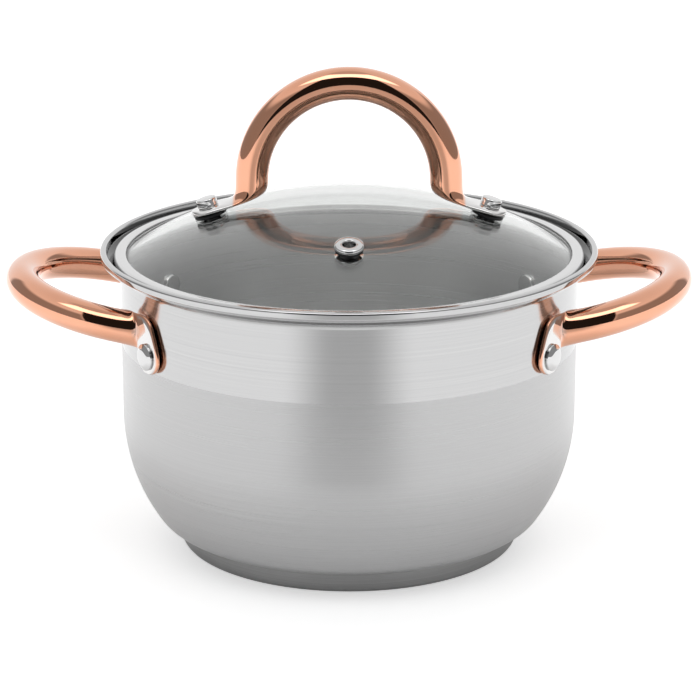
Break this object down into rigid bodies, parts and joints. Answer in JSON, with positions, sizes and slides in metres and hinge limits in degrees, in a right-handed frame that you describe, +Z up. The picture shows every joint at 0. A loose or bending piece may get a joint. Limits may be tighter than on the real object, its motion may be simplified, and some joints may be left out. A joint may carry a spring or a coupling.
{
  "type": "lidded stock pot",
  "caption": "Round-bellied stainless cooking pot with a flared rim, capsule base, bent-tube side handles and a lift-off domed glass lid with a tube handle and steam vent.",
  "frame": {"origin": "centre of the pot's flat underside, on the surface it stands on", "axes": "+Z up along the pot's axis, +X along the line through the two side handles (right), -Y towards the front, where the steam vent is"},
  "size_m": [0.2722, 0.1966, 0.1923],
  "materials": {
    "steel_satin": "circumferentially brushed satin stainless steel, finer polish near the rim",
    "steel_base": "turned satin stainless steel",
    "steel_polished": "mirror polished stainless steel",
    "copper_plate": "polished rose-gold plated stainless tube",
    "clear_glass": "clear tempered glass",
    "silicone": "matt silicone rubber",
    "aluminium_core": "pressed aluminium disc"
  },
  "bodies": {
    "pot": {"pot_body": "steel_satin", "heat_spreader_disc": "aluminium_core", "base_cap": "steel_base", "left_side_handle": "copper_plate", "right_side_handle": "copper_plate", "left_front_rivet": "steel_polished", "left_rear_rivet": "steel_polished", "right_front_rivet": "steel_polished", "right_rear_rivet": "steel_polished"},
    "lid": {"lid_glass": "clear_glass", "lid_rim_band": "steel_polished", "lid_handle": "copper_plate", "lid_rivet_left": "steel_polished", "lid_rivet_right": "steel_polished", "lid_grommet_left": "silicone", "lid_grommet_right": "silicone", "lid_washer_left": "steel_polished", "lid_washer_right": "steel_polished", "vent_eyelet": "steel_polished", "vent_gasket": "silicone", "vent_washer": "steel_polished"}
  },
  "joints": [
    {"name": "lid_lift", "type": "slide", "parent": "pot", "child": "lid", "axis": [0, 0, 1], "range_m": [0, 0.12]}
  ]
}
